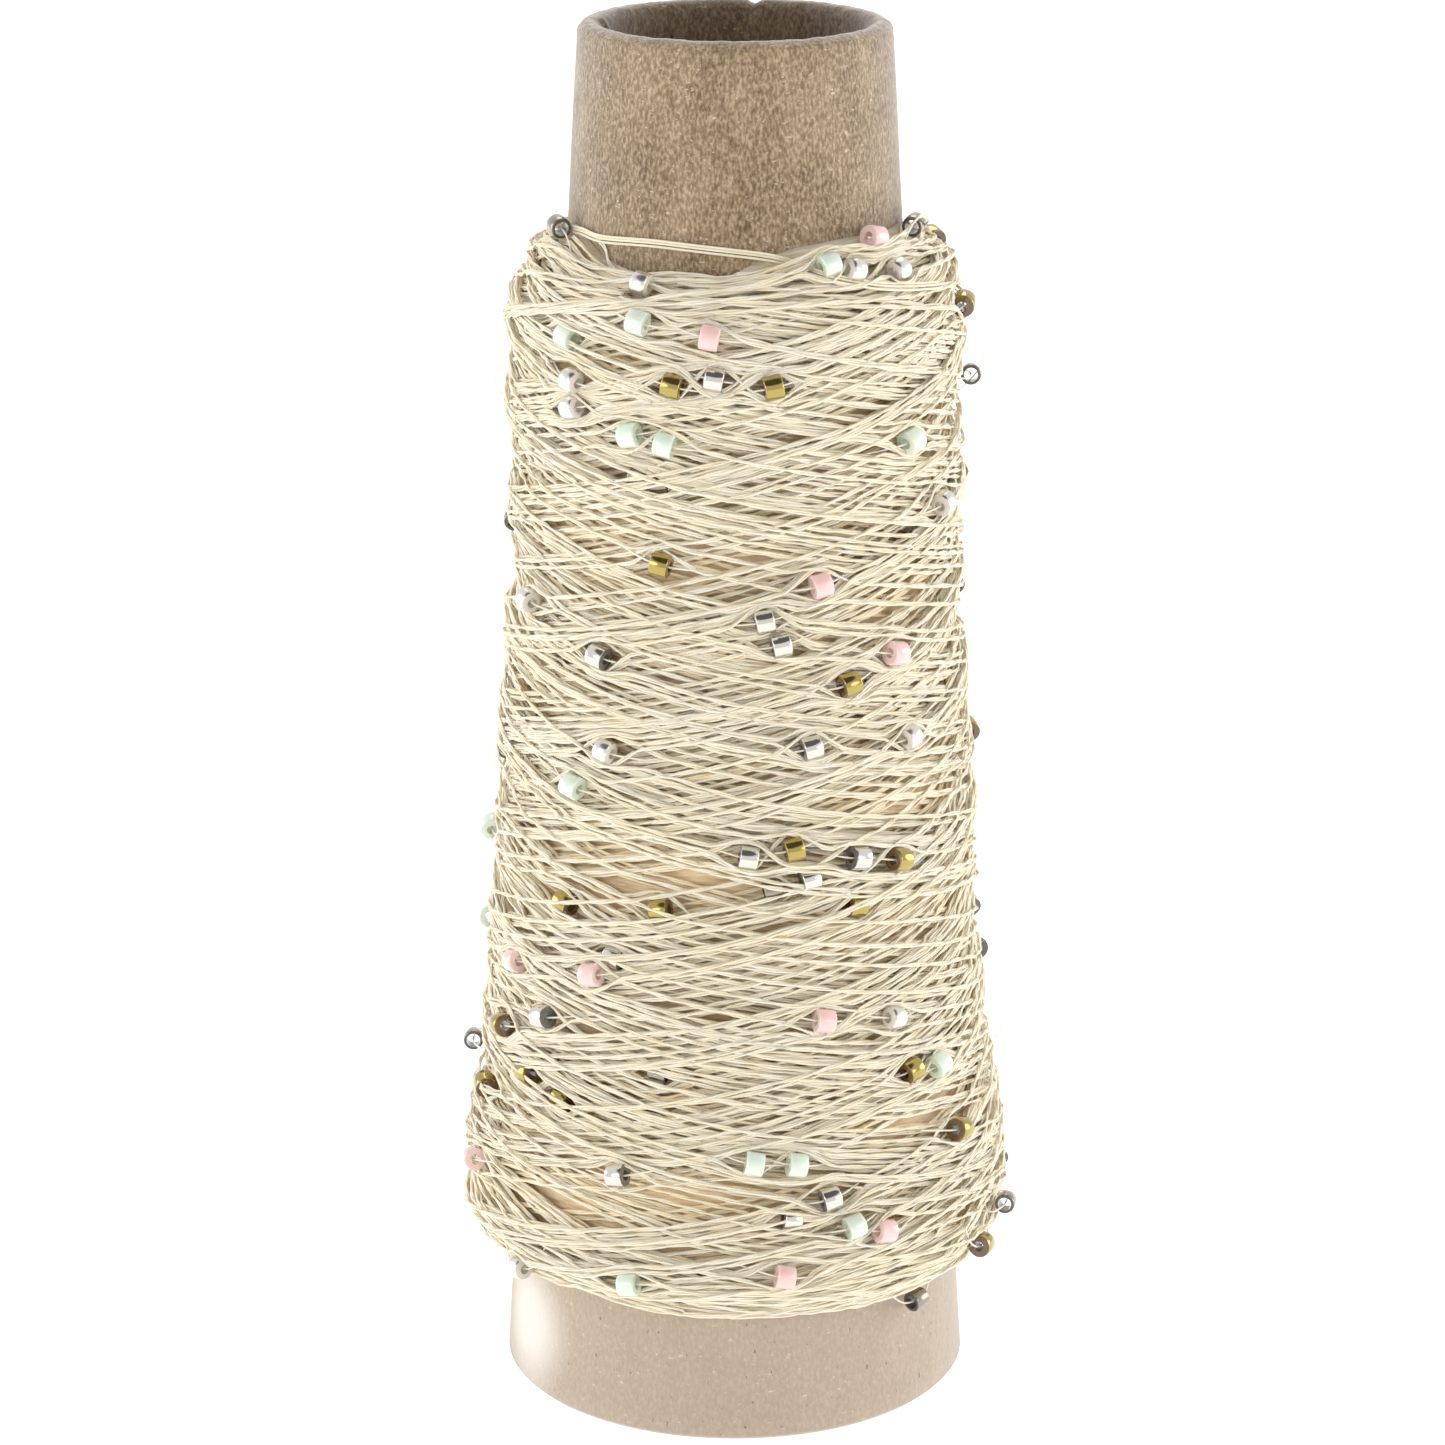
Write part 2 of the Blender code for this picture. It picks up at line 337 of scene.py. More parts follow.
def inside_of(tree, where):
    """1 on the cone's inside and 0 on its outside, from the distance to its axis."""
    flat = vector_step(tree, "MULTIPLY", where, (1, 1, 0))["Vector"]
    length = vector_step(tree, "LENGTH", flat)["Value"]
    level = tree.nodes.new("ShaderNodeSeparateXYZ")
    tree.links.new(where, level.inputs["Vector"])
    straight = tree.nodes.new("ShaderNodeMath")
    straight.operation = "MULTIPLY_ADD"
    straight.inputs[1].default_value = math.tan(HALF_ANGLE)
    tree.links.new(level.outputs["Z"], straight.inputs[0])
    tree.links.new(length, straight.inputs[2])
    middle = cone_high.x - CONE_WALL / 2
    return range_of(tree, straight.outputs["Value"], middle, middle - CONE_WALL / 3)


def kraft_board():
    material, shader = new_material("kraft_board", BOARD_ROUGHNESS)
    tree = material.node_tree
    where = tree.nodes.new("ShaderNodeTexCoord").outputs["Object"]
    kraft = (KRAFT_DARK, KRAFT_MIDDLE, KRAFT_LIGHT)
    mottle = noise_of(tree, where, MOTTLE_GRAIN, Detail=3, Roughness=0.6)
    clouds = noise_of(tree, where, CLOUD_GRAIN, Detail=5)
    colour = ramp_of(tree, mottle, zip(MOTTLE_STOPS, kraft))
    cloudy = ramp_of(tree, clouds, zip(CLOUD_STOPS, kraft))
    colour = mix_of(tree, CLOUD_SHARE, colour, cloudy)
    apart_axes = tree.nodes.new("ShaderNodeSeparateXYZ")
    tree.links.new(where, apart_axes.inputs["Vector"])
    near_foot = range_of(tree, apart_axes.outputs["Z"], *FOOT_FADE)
    colour = mix_of(tree, near_foot, colour, KRAFT_FOOT)
    specks = noise_of(tree, where, SPECK_GRAIN, Detail=2)
    colour = mix_of(tree, range_of(tree, specks, *SPECK_RANGE), colour, FLECK_DARK)
    fibres = noise_of(tree, where, FIBRE_GRAIN, Detail=1)
    colour = mix_of(tree, range_of(tree, fibres, *FIBRE_RANGE), colour, FLECK_PALE)
    # The cone's inside is darkened: painted shade.
    colour = mix_of(tree, inside_of(tree, where), colour, KRAFT_INSIDE_SHADE, "MULTIPLY")
    apart = vector_step(tree, "DISTANCE", where, RUBBED_PLACE)["Value"]
    rubbed = range_of(tree, apart, RUBBED_REACH, RUBBED_CORE * RUBBED_REACH, 0.0, RUBBED_SHARE)
    colour = mix_of(tree, rubbed, colour, RUBBED_PALE)
    tree.links.new(colour, shader.inputs["Base Color"])
    bump_of(tree, shader, specks, *BOARD_BUMP)
    soft_face(shader, BOARD_SPECULAR, BOARD_SHEEN)
    return material


cone_shape = spun(cone_profile(), CONE_AROUND)
weather_cone(cone_shape)
cone = new_piece("kraft_cone", cone_shape, kraft_board())
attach(cone, "root")
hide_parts("paper_cone")

# ---- First turns of yarn -------------------------------------------------------------
# The winding is cream cotton yarn laid in long crossing turns, full at both ends and
# slimmer at the waist. The first turns, pressed together on the cone, are one bed here,
# coloured darker and warmer than the yarn as painted shade of the deep crevices.
YARN_THICKNESS = 0.0009
YARN_PROUD = 0.00045
WAIST_DEPTH = 0.0048
FOOT_SHOULDER = 0.0063
FOOT_SHOULDER_POWER = 2.2
NOSE_SHOULDER = 0.0091
NOSE_SHOULDER_POWER = 1.5
FOOT_BULGE = (0.0107, 0.0017, 0.0127)
NOSE_BULGE = (0.0075, 0.0018, 0.0198)
NOSE_SAG = 0.0028
NOSE_SAG_STARTS = (-68, -46)
NOSE_SAG_STOPS = (-8, 22)
BACK_SAG = 0.0022
BACK_SAG_STARTS = (70, 97)
NOSE_EDGE_WAVE = 0.0002
SAG_REACH = 0.012
RUN_OFF = 0.002
OUTLINE_STEPS = 1400
BED_DEPTH = 0.0036
BED_SHARE = 0.8
BED_GROOVES = 0.0010
BED_AROUND = 120
BED_STEPS = 120
YARN_CREAM = (0.85, 0.745, 0.525, 1.0)
YARN_WARM = (0.82, 0.67, 0.43, 1.0)
YARN_PALE = (0.85, 0.795, 0.64, 1.0)
SHEEN_WARM = (1.0, 0.88, 0.70, 1.0)
# The same cotton, darker and warmer, for the lower strokes: painted shade between the upper turns.
UNDER_SHADE_CREAM = (0.90, 0.72, 0.44, 1.0)
UNDER_SHADE_WARM = (0.85, 0.62, 0.34, 1.0)
UNDER_SHADE_PALE = (0.91, 0.77, 0.53, 1.0)
# Darker still, for the bed under the turns: painted shade of the deep crevices.
DEEP_SHADE_CREAM = (0.77, 0.58, 0.34, 1.0)
DEEP_SHADE_WARM = (0.54, 0.37, 0.19, 1.0)
DEEP_SHADE_PALE = (0.89, 0.72, 0.48, 1.0)
COTTON_ROUGHNESS = 0.9
COTTON_SPECULAR = 0.2
COTTON_SHEEN = 0.75
COTTON_GLOW = 0.6
COTTON_GLOW_DEPTH = 0.0004
COTTON_GROOVES = 0.0002
COTTON_BUMP = 0.4
STREAK_GRAIN = (350, 350, 2600)
STREAK_STOPS = (0.30, 0.50, 0.70)
PATCH_GRAIN = (70, 70, 160)
PATCH_RANGE = (0.4, 0.7, 0.0, 0.4)
winding_low, winding_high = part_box("yarn_winding")
winding_length = winding_high.z - winding_low.z


def bulge(height, centre, rise, reach):
    return rise * np.exp(-(((height - centre) / reach) ** 2))


def shoulder(share, power):
    """1 where a shoulder starts and 0 at the winding's end, along a rounded corner."""
    return (1 - np.clip(share, 0, 1) ** power) ** (1 / power)


def winding_radius(height):
    """Outside of the winding: crowned at both ends, with a slimmer waist between."""
    up, rise, reach = FOOT_BULGE
    depth = WAIST_DEPTH - YARN_THICKNESS + bulge(height, winding_low.z + up, rise, reach)
    down, rise, reach = NOSE_BULGE
    depth = depth + bulge(height, winding_high.z - down, rise, reach)
    past_foot = (winding_low.z + FOOT_SHOULDER - height) / FOOT_SHOULDER
    past_nose = (height - winding_high.z + NOSE_SHOULDER) / NOSE_SHOULDER
    depth = depth * shoulder(past_foot, FOOT_SHOULDER_POWER)
    depth = depth * shoulder(past_nose, NOSE_SHOULDER_POWER)
    return cone_radius(height) + YARN_THICKNESS + depth


def smooth_step(value, start, end):
    share = np.clip((value - start) / (end - start), 0, 1)
    return share * share * (3 - 2 * share)


outline_z = np.linspace(winding_low.z - RUN_OFF, winding_high.z + RUN_OFF, OUTLINE_STEPS)
off_foot = smooth_step(outline_z, winding_low.z, winding_low.z - RUN_OFF / 2)
off_nose = smooth_step(outline_z, winding_high.z, winding_high.z + RUN_OFF / 2)
outline_r = winding_radius(outline_z) + YARN_PROUD - YARN_THICKNESS * (off_foot + off_nose)
outline_s = np.concatenate(([0], np.cumsum(np.hypot(np.diff(outline_z), np.diff(outline_r)))))
slope_r = np.gradient(outline_r, outline_s)
slope_z = np.gradient(outline_z, outline_s)
cone_depth = outline_r - cone_radius(outline_z)


def nose_dip(angle):
    """How far the winding's nose edge sags: most on the front left, and a little behind."""
    degrees = (np.degrees(angle) + 180) % 360 - 180
    sag = smooth_step(degrees, *NOSE_SAG_STARTS) - smooth_step(degrees, *NOSE_SAG_STOPS)
    behind = smooth_step(np.abs(degrees), *BACK_SAG_STARTS)
    waves = np.sin(3 * angle + 1) + np.sin(7 * angle)
    return NOSE_SAG * sag + BACK_SAG * behind + NOSE_EDGE_WAVE * waves


def on_winding(angle, along, height):
    """Points at an angle from the front, so far along the outline from the foot, and so
    high above it, with the way that faces out there."""
    radius = np.interp(along, outline_s, outline_r)
    level = np.interp(along, outline_s, outline_z)
    out_r = np.interp(along, outline_s, slope_z)
    out_z = -np.interp(along, outline_s, slope_r)
    near_nose = smooth_step(along, outline_s[-1] - SAG_REACH, outline_s[-1])
    radius = radius + height * out_r
    level = level + height * out_z - near_nose * nose_dip(angle)
    points = np.stack((radius * np.sin(angle), -radius * np.cos(angle), level), axis=-1)
    outward = np.stack((out_r * np.sin(angle), -out_r * np.cos(angle), out_z), axis=-1)
    return points, outward


def along_at(height):
    return np.interp(height, outline_z, outline_s)


def light_through(shader, weight, depth):
    """Lets light soak so deep into a material, all its colours alike."""
    set_inputs(shader, {"Subsurface Weight": weight, "Subsurface Scale": depth})
    set_inputs(shader, {"Subsurface Radius": (1.0, 1.0, 1.0)})


def yarn_cotton(name, warm, cream, pale, grooves=COTTON_GROOVES):
    material, shader = new_material(name, COTTON_ROUGHNESS)
    tree = material.node_tree
    where = tree.nodes.new("ShaderNodeTexCoord").outputs["Object"]
    streaks = noise_of(tree, where, STREAK_GRAIN, Detail=3)
    patches = noise_of(tree, where, PATCH_GRAIN, Detail=2)
    colour = ramp_of(tree, streaks, zip(STREAK_STOPS, (warm, cream, pale)))
    colour = mix_of(tree, range_of(tree, patches, *PATCH_RANGE), colour, pale)
    tree.links.new(colour, shader.inputs["Base Color"])
    bump_of(tree, shader, streaks, COTTON_BUMP, grooves)
    soft_face(shader, COTTON_SPECULAR, COTTON_SHEEN)
    set_inputs(shader, {"Sheen Tint": SHEEN_WARM})
    light_through(shader, COTTON_GLOW, COTTON_GLOW_DEPTH)
    return material


def bed_outline():
    """The bed's closed outline: its outside, then down beside the cone."""
    along = np.linspace(along_at(winding_low.z), along_at(winding_high.z), BED_STEPS)
    depth = np.minimum(BED_DEPTH, BED_SHARE * np.interp(along, outline_s, cone_depth))
    points, _ = on_winding(np.full(BED_STEPS, math.pi), along, -depth)
    outside = [(math.hypot(x, y), z) for x, y, z in points]
    return outside + [(cone_radius(z) + CONE_WOBBLE, z) for z in (winding_high.z, winding_low.z)]


yarn_material = yarn_cotton("cream_cotton", YARN_WARM, YARN_CREAM, YARN_PALE)
# A darker, warmer copy of the cotton for the lower strokes, as painted shade.
under_shade_material = yarn_cotton("under_painted_shade_cotton", UNDER_SHADE_WARM, UNDER_SHADE_CREAM, UNDER_SHADE_PALE)
# A darker copy still for the bed: painted shade of the deep crevices.
deep_shade_material = yarn_cotton("deep_painted_shade_cotton", DEEP_SHADE_WARM, DEEP_SHADE_CREAM, DEEP_SHADE_PALE, BED_GROOVES)
bed_shape = spun(bed_outline(), BED_AROUND)
for vert in bed_shape.verts:
    sunk = smooth_step(vert.co.z, winding_high.z - SAG_REACH, winding_high.z)
    vert.co.z -= sunk * nose_dip(math.atan2(vert.co.x, -vert.co.y))
bed = new_piece("yarn_bed", bed_shape, deep_shade_material)
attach(bed, "root")
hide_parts("yarn_winding")

# ---- Glass beads ---------------------------------------------------------------------
# Size 8/0 glass beads strung on a fine carrier thread that is plied with the yarn: cut
# cylinders with a silver or gold lining, colour-lined pink and mint ones, and a few round
# clear ones. The turns of yarn wound over the thread hold them where they lie.
BEAD_DIAMETER = 0.0029
BEAD_LENGTH = 0.00225
BEAD_BORE = 0.0013
THIN_DIAMETER = 0.0025
THIN_BORE = 0.0017
BEAD_TILT = math.radians(11)
BEAD_AROUND = 18
CUT_EDGE = 0.00018
ROUND_EDGE = 0.0005
END_ROUGHNESS = 0.15
END_FACING = 0.55
PART_ROUND = 0.3
METAL_COAT = 0.3
COAT_ROUGHNESS = 0.03
GLASS_GLOW = 0.5
GLASS_GLOW_DEPTH = 0.001
PINNED_RISE = 0.0006
SHOWN_DEPTH = 0.0008
HIDDEN_SHARE = 0.4
# Outside colour, end colour, metallic share and roughness of each finish. The end colour
# also colours the bore; on the silver, gold and dark beads its darkness is partly painted
# shade in the bore.
FINISHES = {
    "silver": ((0.66, 0.63, 0.57, 1.0), (0.09, 0.08, 0.065, 1.0), 1.0, 0.12),
    "gold": ((0.37, 0.275, 0.06, 1.0), (0.10, 0.05, 0.015, 1.0), 1.0, 0.13),
    "pink": ((0.84, 0.52, 0.49, 1.0), (0.78, 0.54, 0.48, 1.0), 0.0, 0.12),
    "mint": ((0.66, 0.77, 0.64, 1.0), (0.60, 0.68, 0.52, 1.0), 0.0, 0.12),
    "clear": ((0.72, 0.69, 0.64, 1.0), (0.58, 0.52, 0.42, 1.0), 1.0, 0.25),
    "dark": ((0.26, 0.22, 0.18, 1.0), (0.05, 0.042, 0.034, 1.0), 1.0, 0.22),
}
LOOSE_FINISHES = {"glass_gold": "gold", "glass_pink": "pink"}
BACK_FINISHES = ("silver", "gold", "mint", "clear", "pink", "silver", "clear", "dark")
BACK_DEPTHS = (0.0, 1.2, 0.2, 1.6, 0.4)
MAX_DEPTH = 0.0020
CLEAR_NODES = {
    "bead_silver_01",
    "bead_silver_02",
    "bead_silver_03",
    "bead_silver_05",
    "bead_silver_09",
    "loose_bead_06",
}
# Beads that lie between the CAD ones: colour, percent of the winding's height, degrees
# from the front, and how many millimetres deeper than those.
MORE_BEADS = (
    ("clear", 97.9, -26, 0.2), ("clear", 97.4, 50, 0.5), ("clear", 87.9, -43, 0.0),
    ("clear", 85.4, -43, 0.0), ("silver", 89.2, -5, 0.3), ("silver", 64.7, 11, 0.2),
    ("silver", 62.6, -35, 0.4), ("clear", 54.3, 46, 0.1), ("silver", 43.9, 30, 0.4),
    ("silver", 42.4, 18, 1.3), ("silver", 34.2, -30, 1.8), ("silver", 12.1, 20, 0.3),
    ("silver", 10.3, 12, 1.4), ("gold", 45.6, 13.5, 0.0), ("gold", 39.2, 30, 1.5),
    ("gold", 39.4, -18, 1.5), ("gold", 38.2, -45, 1.5), ("gold", 20.5, -55, 1.2),
    ("gold", 16.2, -77, 1.0), ("gold", 22.3, 43, 0.5), ("gold", 19.3, -43, 1.7),
    ("gold", 92.4, 80, 0.2), ("pink", 99.9, 48, 0.1), ("pink", 30.9, -61, 0.3),
    ("pink", 8, 32, 0.2), ("mint", 98.6, 27, 0.2), ("mint", 91.6, -47, 1.2),
    ("mint", 83.7, -26, 0.0), ("mint", 83.1, -17, 0.0), ("mint", 31.6, -88, 0.3),
    ("mint", 15.6, 13, 0.2), ("mint", 9.1, 25, 0.2), ("dark", 79.6, -25, 1.5),
    ("dark", 79.2, -19.5, 1.6), ("dark", 71.3, -87, 1.0), ("dark", 41.6, 9, 1.6),
    ("dark", 23.7, -18, 2.0),
)
BACK_BEADS = 64
BACK_PERCENT = (2, 98)
BACK_DEGREES = (88, 272)
BEAD_SPACING = 0.0048
BEAD_SEED = 8


def bead_on_node(name):
    """Where a CAD bead lies: its middle, and the direction of its bore."""
    mesh = frame["nodes"][name].data
    points = np.array([vert.co for vert in mesh.vertices], float)
    middle = (points.max(0) + points.min(0)) / 2
    spread = np.linalg.eigh(np.cov((points - middle).T))
    return middle, spread[1][:, 2]


def bead_in_yarn(percent, degrees, depth, tilt):
    """Where a bead between the CAD ones lies, at a depth under the pinned beads."""
    angle = math.radians(degrees)
    along = along_at(winding_low.z + winding_length * percent / 100)
    points, _ = on_winding(np.array([angle]), np.array([along]), PINNED_RISE - YARN_PROUD - depth)
    sideways = np.array((math.cos(angle), math.sin(angle), 0.0))
    return points[0], sideways * math.cos(tilt) + np.array((0, 0, math.sin(tilt)))


def bead_matrix(middle, bore):
    return Matrix.Translation(middle) @ Vector(bore).to_track_quat("Z", "Y").to_matrix().to_4x4()


def bead_shape(edge_round, diameter, bore):
    """A bead round the Z axis; its ends, round edges and bore wear the second material."""
    half = BEAD_LENGTH / 2
    outer = diameter / 2
    inner = bore / 2
    part_round = edge_round * PART_ROUND
    shape = spun(
        (
            (inner, -half),
            (outer - edge_round, -half),
            (outer - part_round, -half + part_round),
            (outer, -half + edge_round),
            (outer, half - edge_round),
            (outer - part_round, half - part_round),
            (outer - edge_round, half),
            (inner, half),
        ),
        BEAD_AROUND,
    )
    for face in shape.faces:
        middle = face.calc_center_median()
        on_end = abs(face.normal.z) > END_FACING or middle.xy.length < (inner + outer) / 2
        face.material_index = 1 if on_end else 0
        face.smooth = not on_end
    return shape


def beads_piece(name, finish, places):
    """All the beads of one finish as one piece."""
    single = bmesh.new()
    template = bpy.data.meshes.new("template")
    if finish == "dark":
        shape = bead_shape(CUT_EDGE, THIN_DIAMETER, THIN_BORE)
    else:
        shape = bead_shape(ROUND_EDGE if finish == "clear" else CUT_EDGE, BEAD_DIAMETER, BEAD_BORE)
    shape.to_mesh(template)
    shape.free()
    for middle, bore in places:
        before = len(single.verts)
        single.from_mesh(template)
        single.verts.ensure_lookup_table()
        bmesh.ops.transform(single, matrix=bead_matrix(middle, bore), verts=single.verts[before:])
    bpy.data.meshes.remove(template)
    piece = new_piece(name, single, bead_materials[finish][0])
    piece.data.materials.append(bead_materials[finish][1])
    return piece


def bead_glass(finish):
    """The lined glass of a bead's outside, and the clearer glass of its cut ends and bore,
    whose dark colour on the metal-lined beads is partly painted shade in the bore.
    """
    colour, end_colour, metal, roughness = FINISHES[finish]
    side, shader = new_material("bead_" + finish, roughness)
    set_inputs(shader, {"Base Color": colour, "Metallic": metal})
    # The end colour also lies in the bore, where its darkness is partly painted shade.
    end, end_shader = new_material("bead_end_" + finish, END_ROUGHNESS)
    set_inputs(end_shader, {"Base Color": end_colour})
    coat = METAL_COAT if metal else 1.0
    for each in (shader, end_shader):
        set_inputs(each, {"Coat Weight": coat, "Coat Roughness": COAT_ROUGHNESS})
        if metal == 0:
            light_through(each, GLASS_GLOW, GLASS_GLOW_DEPTH)
    return side, end


bead_materials = {finish: bead_glass(finish) for finish in FINISHES}
# Every bead that the yarn is wound round, as finish, middle, bore and depth.
wound_beads = []
bead_nodes = {finish: [] for finish in FINISHES}
for node in sorted(frame["nodes"]):
    if node.startswith("bead_") and not node.startswith("bead_thread"):
        finish = "clear" if node in CLEAR_NODES else node.split("_")[1]
        bead_nodes[finish].append(node)
        wound_beads.append((finish, *bead_on_node(node), 0.0))
loose_nodes = sorted(node for node in frame["nodes"] if node.startswith("loose_bead"))
loose_places = [bead_on_node(node) for node in loose_nodes]
taken = [bead[1] for bead in wound_beads] + [middle for middle, _ in loose_places]
for index, (finish, percent, degrees, deep) in enumerate(MORE_BEADS):
    depth = deep / 1000
    tilt = BEAD_TILT if index % 2 else -BEAD_TILT
    middle, bore = bead_in_yarn(percent, degrees, depth, tilt)
    taken.append(middle)
    wound_beads.append((finish, middle, bore, depth))
bead_draw = np.random.default_rng(BEAD_SEED)
placed = 0
while placed < BACK_BEADS:
    percent, degrees = bead_draw.uniform(*zip(BACK_PERCENT, BACK_DEGREES))
    depth = BACK_DEPTHS[placed % len(BACK_DEPTHS)] / 1000
    tilt = BEAD_TILT if placed % 2 else -BEAD_TILT
    middle, bore = bead_in_yarn(percent, degrees, depth, tilt)
    if min(np.linalg.norm(np.array(taken) - middle, axis=1)) > BEAD_SPACING:
        taken.append(middle)
        finish = BACK_FINISHES[placed % len(BACK_FINISHES)]
        wound_beads.append((finish, middle, bore, depth))
        placed += 1

for finish in FINISHES:
    places = [(middle, bore) for colour, middle, bore, _ in wound_beads if colour == finish]
    piece = beads_piece("beads_" + finish, finish, places)
    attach(piece, "root")
    if bead_nodes[finish]:
        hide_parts(*bead_nodes[finish])

# ---- Turns of yarn -------------------------------------------------------------------
# The yarn itself: two slack singles plied together and traversed up and down the cone,
# three and a half turns to a stroke. Each stroke lies on the strokes before it, bridges
# their hollows, and parts round the beads it meets.
COLUMNS = 960
ROW_STEP = 0.0002
STROKES = 228
UNDER_STROKES = 88
UNDER_SHIFT = 0.191
TURNS_A_STROKE = 3.5
LAST_STROKES = 26
NEXT_TO_LAST = 0.018
GROUP_STROKES = (7, 12)
NEXT_IN_LAST = (0.03, 0.10)
NEXT_GROUP = (0.1, 0.95)
TURNING_START = -0.02
TURNING_SHARE = 0.10
WANDER_FADE = 20
END_SPREAD = 0.0075
END_POWER = 1.6
LYING_RADIUS = 0.00025
SLOW_WANDER = (0.00020, 150)
QUICK_WANDER = (0.00003, 30)
TAUT_SPANS = (3, 6, 12, 20)
EASING = np.array((1, 2, 3, 4, 3, 2, 1)) / 16
PRESSED = 0.00006
LOWEST = -1.0
SETTLED_PERCENT = 80
SETTLED_ROWS = 15
HIGHEST_OVER_MEAN = 0.0010
PARTING_REACH = 24
PARTING_HALF = 0.0016
PARTING_SPREAD = (1.0, 1.35)
PARTING_CLEAR = 0.0034
STAMP_HEIGHT = 0.08
TURNING_ROOM = 0.0004
PLIES = 2
PLY_SIDES = 4
PLY_RADIUS = 0.00015
PLY_SPREAD = 0.00014
PLY_RISE = 0.00010
PLY_PITCH = (0.007, 0.012)
PITCH_REACH = 30
SLUB_SHARE = 0.12
SLUB_REACH = 8
UNDER_RADIUS = 0.00017
PLY_STRIDE = 6
UNDER_STRIDE = 9
STROKES_A_PIECE = 20
UNDER_A_PIECE = 30
MAP_ROWS = 128
YARN_SEED = 21

laying = np.random.default_rng(YARN_SEED)
row_count = int(outline_s[-1] / ROW_STEP) + 1
row_s = np.arange(row_count) * ROW_STEP
foot_s = along_at(winding_low.z) + LYING_RADIUS
nose_s = along_at(winding_high.z) - LYING_RADIUS
bed_depth = np.minimum(BED_DEPTH, np.interp(row_s, outline_s, cone_depth))
surface = np.repeat(-bed_depth[:, None], COLUMNS, axis=1)
column_angle = 2 * math.pi / COLUMNS


def wander(count, reach):
    """A slow random wander about zero, with a knot every so many samples."""
    knots = laying.normal(size=count // reach + 3)
    place = np.arange(count) / reach
    knot = place.astype(int)
    share = smooth_step(place - knot, 0, 1)
    return knots[knot] * (1 - share) + knots[knot + 1] * share


def stroke_along(start, end, count):
    """The traverse of one stroke, which slows down and turns at both ends."""
    share = np.linspace(0, 1, count)
    speed = smooth_step(np.minimum(share, 1 - share), TURNING_START, TURNING_SHARE)
    travel = np.cumsum(speed)
    path = start + (end - start) * (travel - travel[0]) / (travel[-1] - travel[0])
    fade = np.minimum(share, 1 - share) * WANDER_FADE
    loose = np.minimum(fade, 1)
    for size, reach in (SLOW_WANDER, QUICK_WANDER):
        path = path + loose * size * wander(count, reach)
    return np.clip(path, foot_s, nose_s)


def part_round_beads(path, first_column, stroke):
    """Pushes each pass that would run through a bead up or down to its nearer side."""
    offsets = np.arange(-PARTING_REACH, PARTING_REACH + 1)
    fade = (1 - (offsets / (PARTING_REACH + 1)) ** 2) ** 2
    for column, along, laid, covered in bead_stops:
        if not laid <= stroke < covered:
            continue
        for middle in range((column - first_column) % COLUMNS, len(path), COLUMNS):
            gap = path[middle] - along
            if abs(gap) > PARTING_CLEAR:
                continue
            half = PARTING_HALF * laying.uniform(*PARTING_SPREAD)
            aside = (gap**4 + half**4) ** 0.25 - abs(gap)
            where = middle + offsets
            inside = (where >= 0) & (where < len(path))
            path[where[inside]] += math.copysign(aside, gap) * fade[inside]
    return np.clip(path, foot_s, nose_s)


def lay(path, first_column):
    """How high a stroke's middle lies on the surface so far; then adds it to the surface."""
    columns = (first_column + np.arange(len(path))) % COLUMNS
    places = path / ROW_STEP
    nearest = np.rint(places).astype(int)
    reach = int(LYING_RADIUS / ROW_STEP) + 1
    height = np.full(len(path), LOWEST)
    rounds = []
    for step in range(-reach, reach + 1):
        rows = np.clip(nearest + step, 0, row_count - 1)
        across = (rows - places) * ROW_STEP
        over = LYING_RADIUS**2 - across**2
        lift = np.sqrt(np.maximum(over, 0))
        rounds.append((rows, lift, over > 0))
        height = np.where(over > 0, np.maximum(height, surface[rows, columns] + lift), height)
    radius = np.interp(path, outline_s, outline_r)
    step_length = column_angle * radius
    for span in TAUT_SPANS:
        padded = np.pad(height, span, mode="edge")
        chord = (padded[2 * span:] + padded[:-2 * span]) / 2 - (span * step_length) ** 2 / (2 * radius)
        height = np.maximum(height, chord)
    padded = np.pad(height, len(EASING) // 2, mode="edge")
    height = np.convolve(padded, EASING, mode="valid") - PRESSED
    level = surface.mean(axis=1)
    height = np.minimum(height, level[nearest.clip(0, row_count - 1)] + HIGHEST_OVER_MEAN)
    for rows, lift, near in rounds:
        np.maximum.at(surface, (rows[near], columns[near]), (height + lift)[near])
    return height


def stamp_bead(column, along, middle_height):
    """Adds a bead's top to the surface, so that later turns climb over it."""
    half_columns = int(BEAD_LENGTH / 2 / (column_angle * cone_radius(STAMP_HEIGHT)))
    columns = (column + np.arange(-half_columns, half_columns + 1)) % COLUMNS
    low_row = int((along - BEAD_DIAMETER / 2) / ROW_STEP)
    high_row = int((along + BEAD_DIAMETER / 2) / ROW_STEP)
    rows = np.arange(low_row, high_row)
    rows = rows[(rows >= 0) & (rows < row_count)]
    over = (BEAD_DIAMETER / 2) ** 2 - (rows * ROW_STEP - along) ** 2
    top = middle_height + np.sqrt(np.maximum(over, 0))
    surface[np.ix_(rows, columns)] = np.maximum(surface[np.ix_(rows, columns)], top[:, None])


bead_stops = []
bead_heights = []
for _, middle, _, depth in wound_beads:
    column = round(math.atan2(middle[0], -middle[1]) / column_angle) % COLUMNS
    along = float(along_at(middle[2]))
    middle_height = math.hypot(middle[0], middle[1]) - float(np.interp(along, outline_s, outline_r))
    share_under = 1 + (middle_height - BEAD_DIAMETER / 2) / BED_DEPTH
    laid = max(0, int(STROKES * share_under))
    covered = STROKES
    if depth >= SHOWN_DEPTH:
        covered = int(STROKES * (1 - HIDDEN_SHARE * depth / MAX_DEPTH))
    bead_stops.append((column, along, laid, covered))
    bead_heights.append(middle_height)

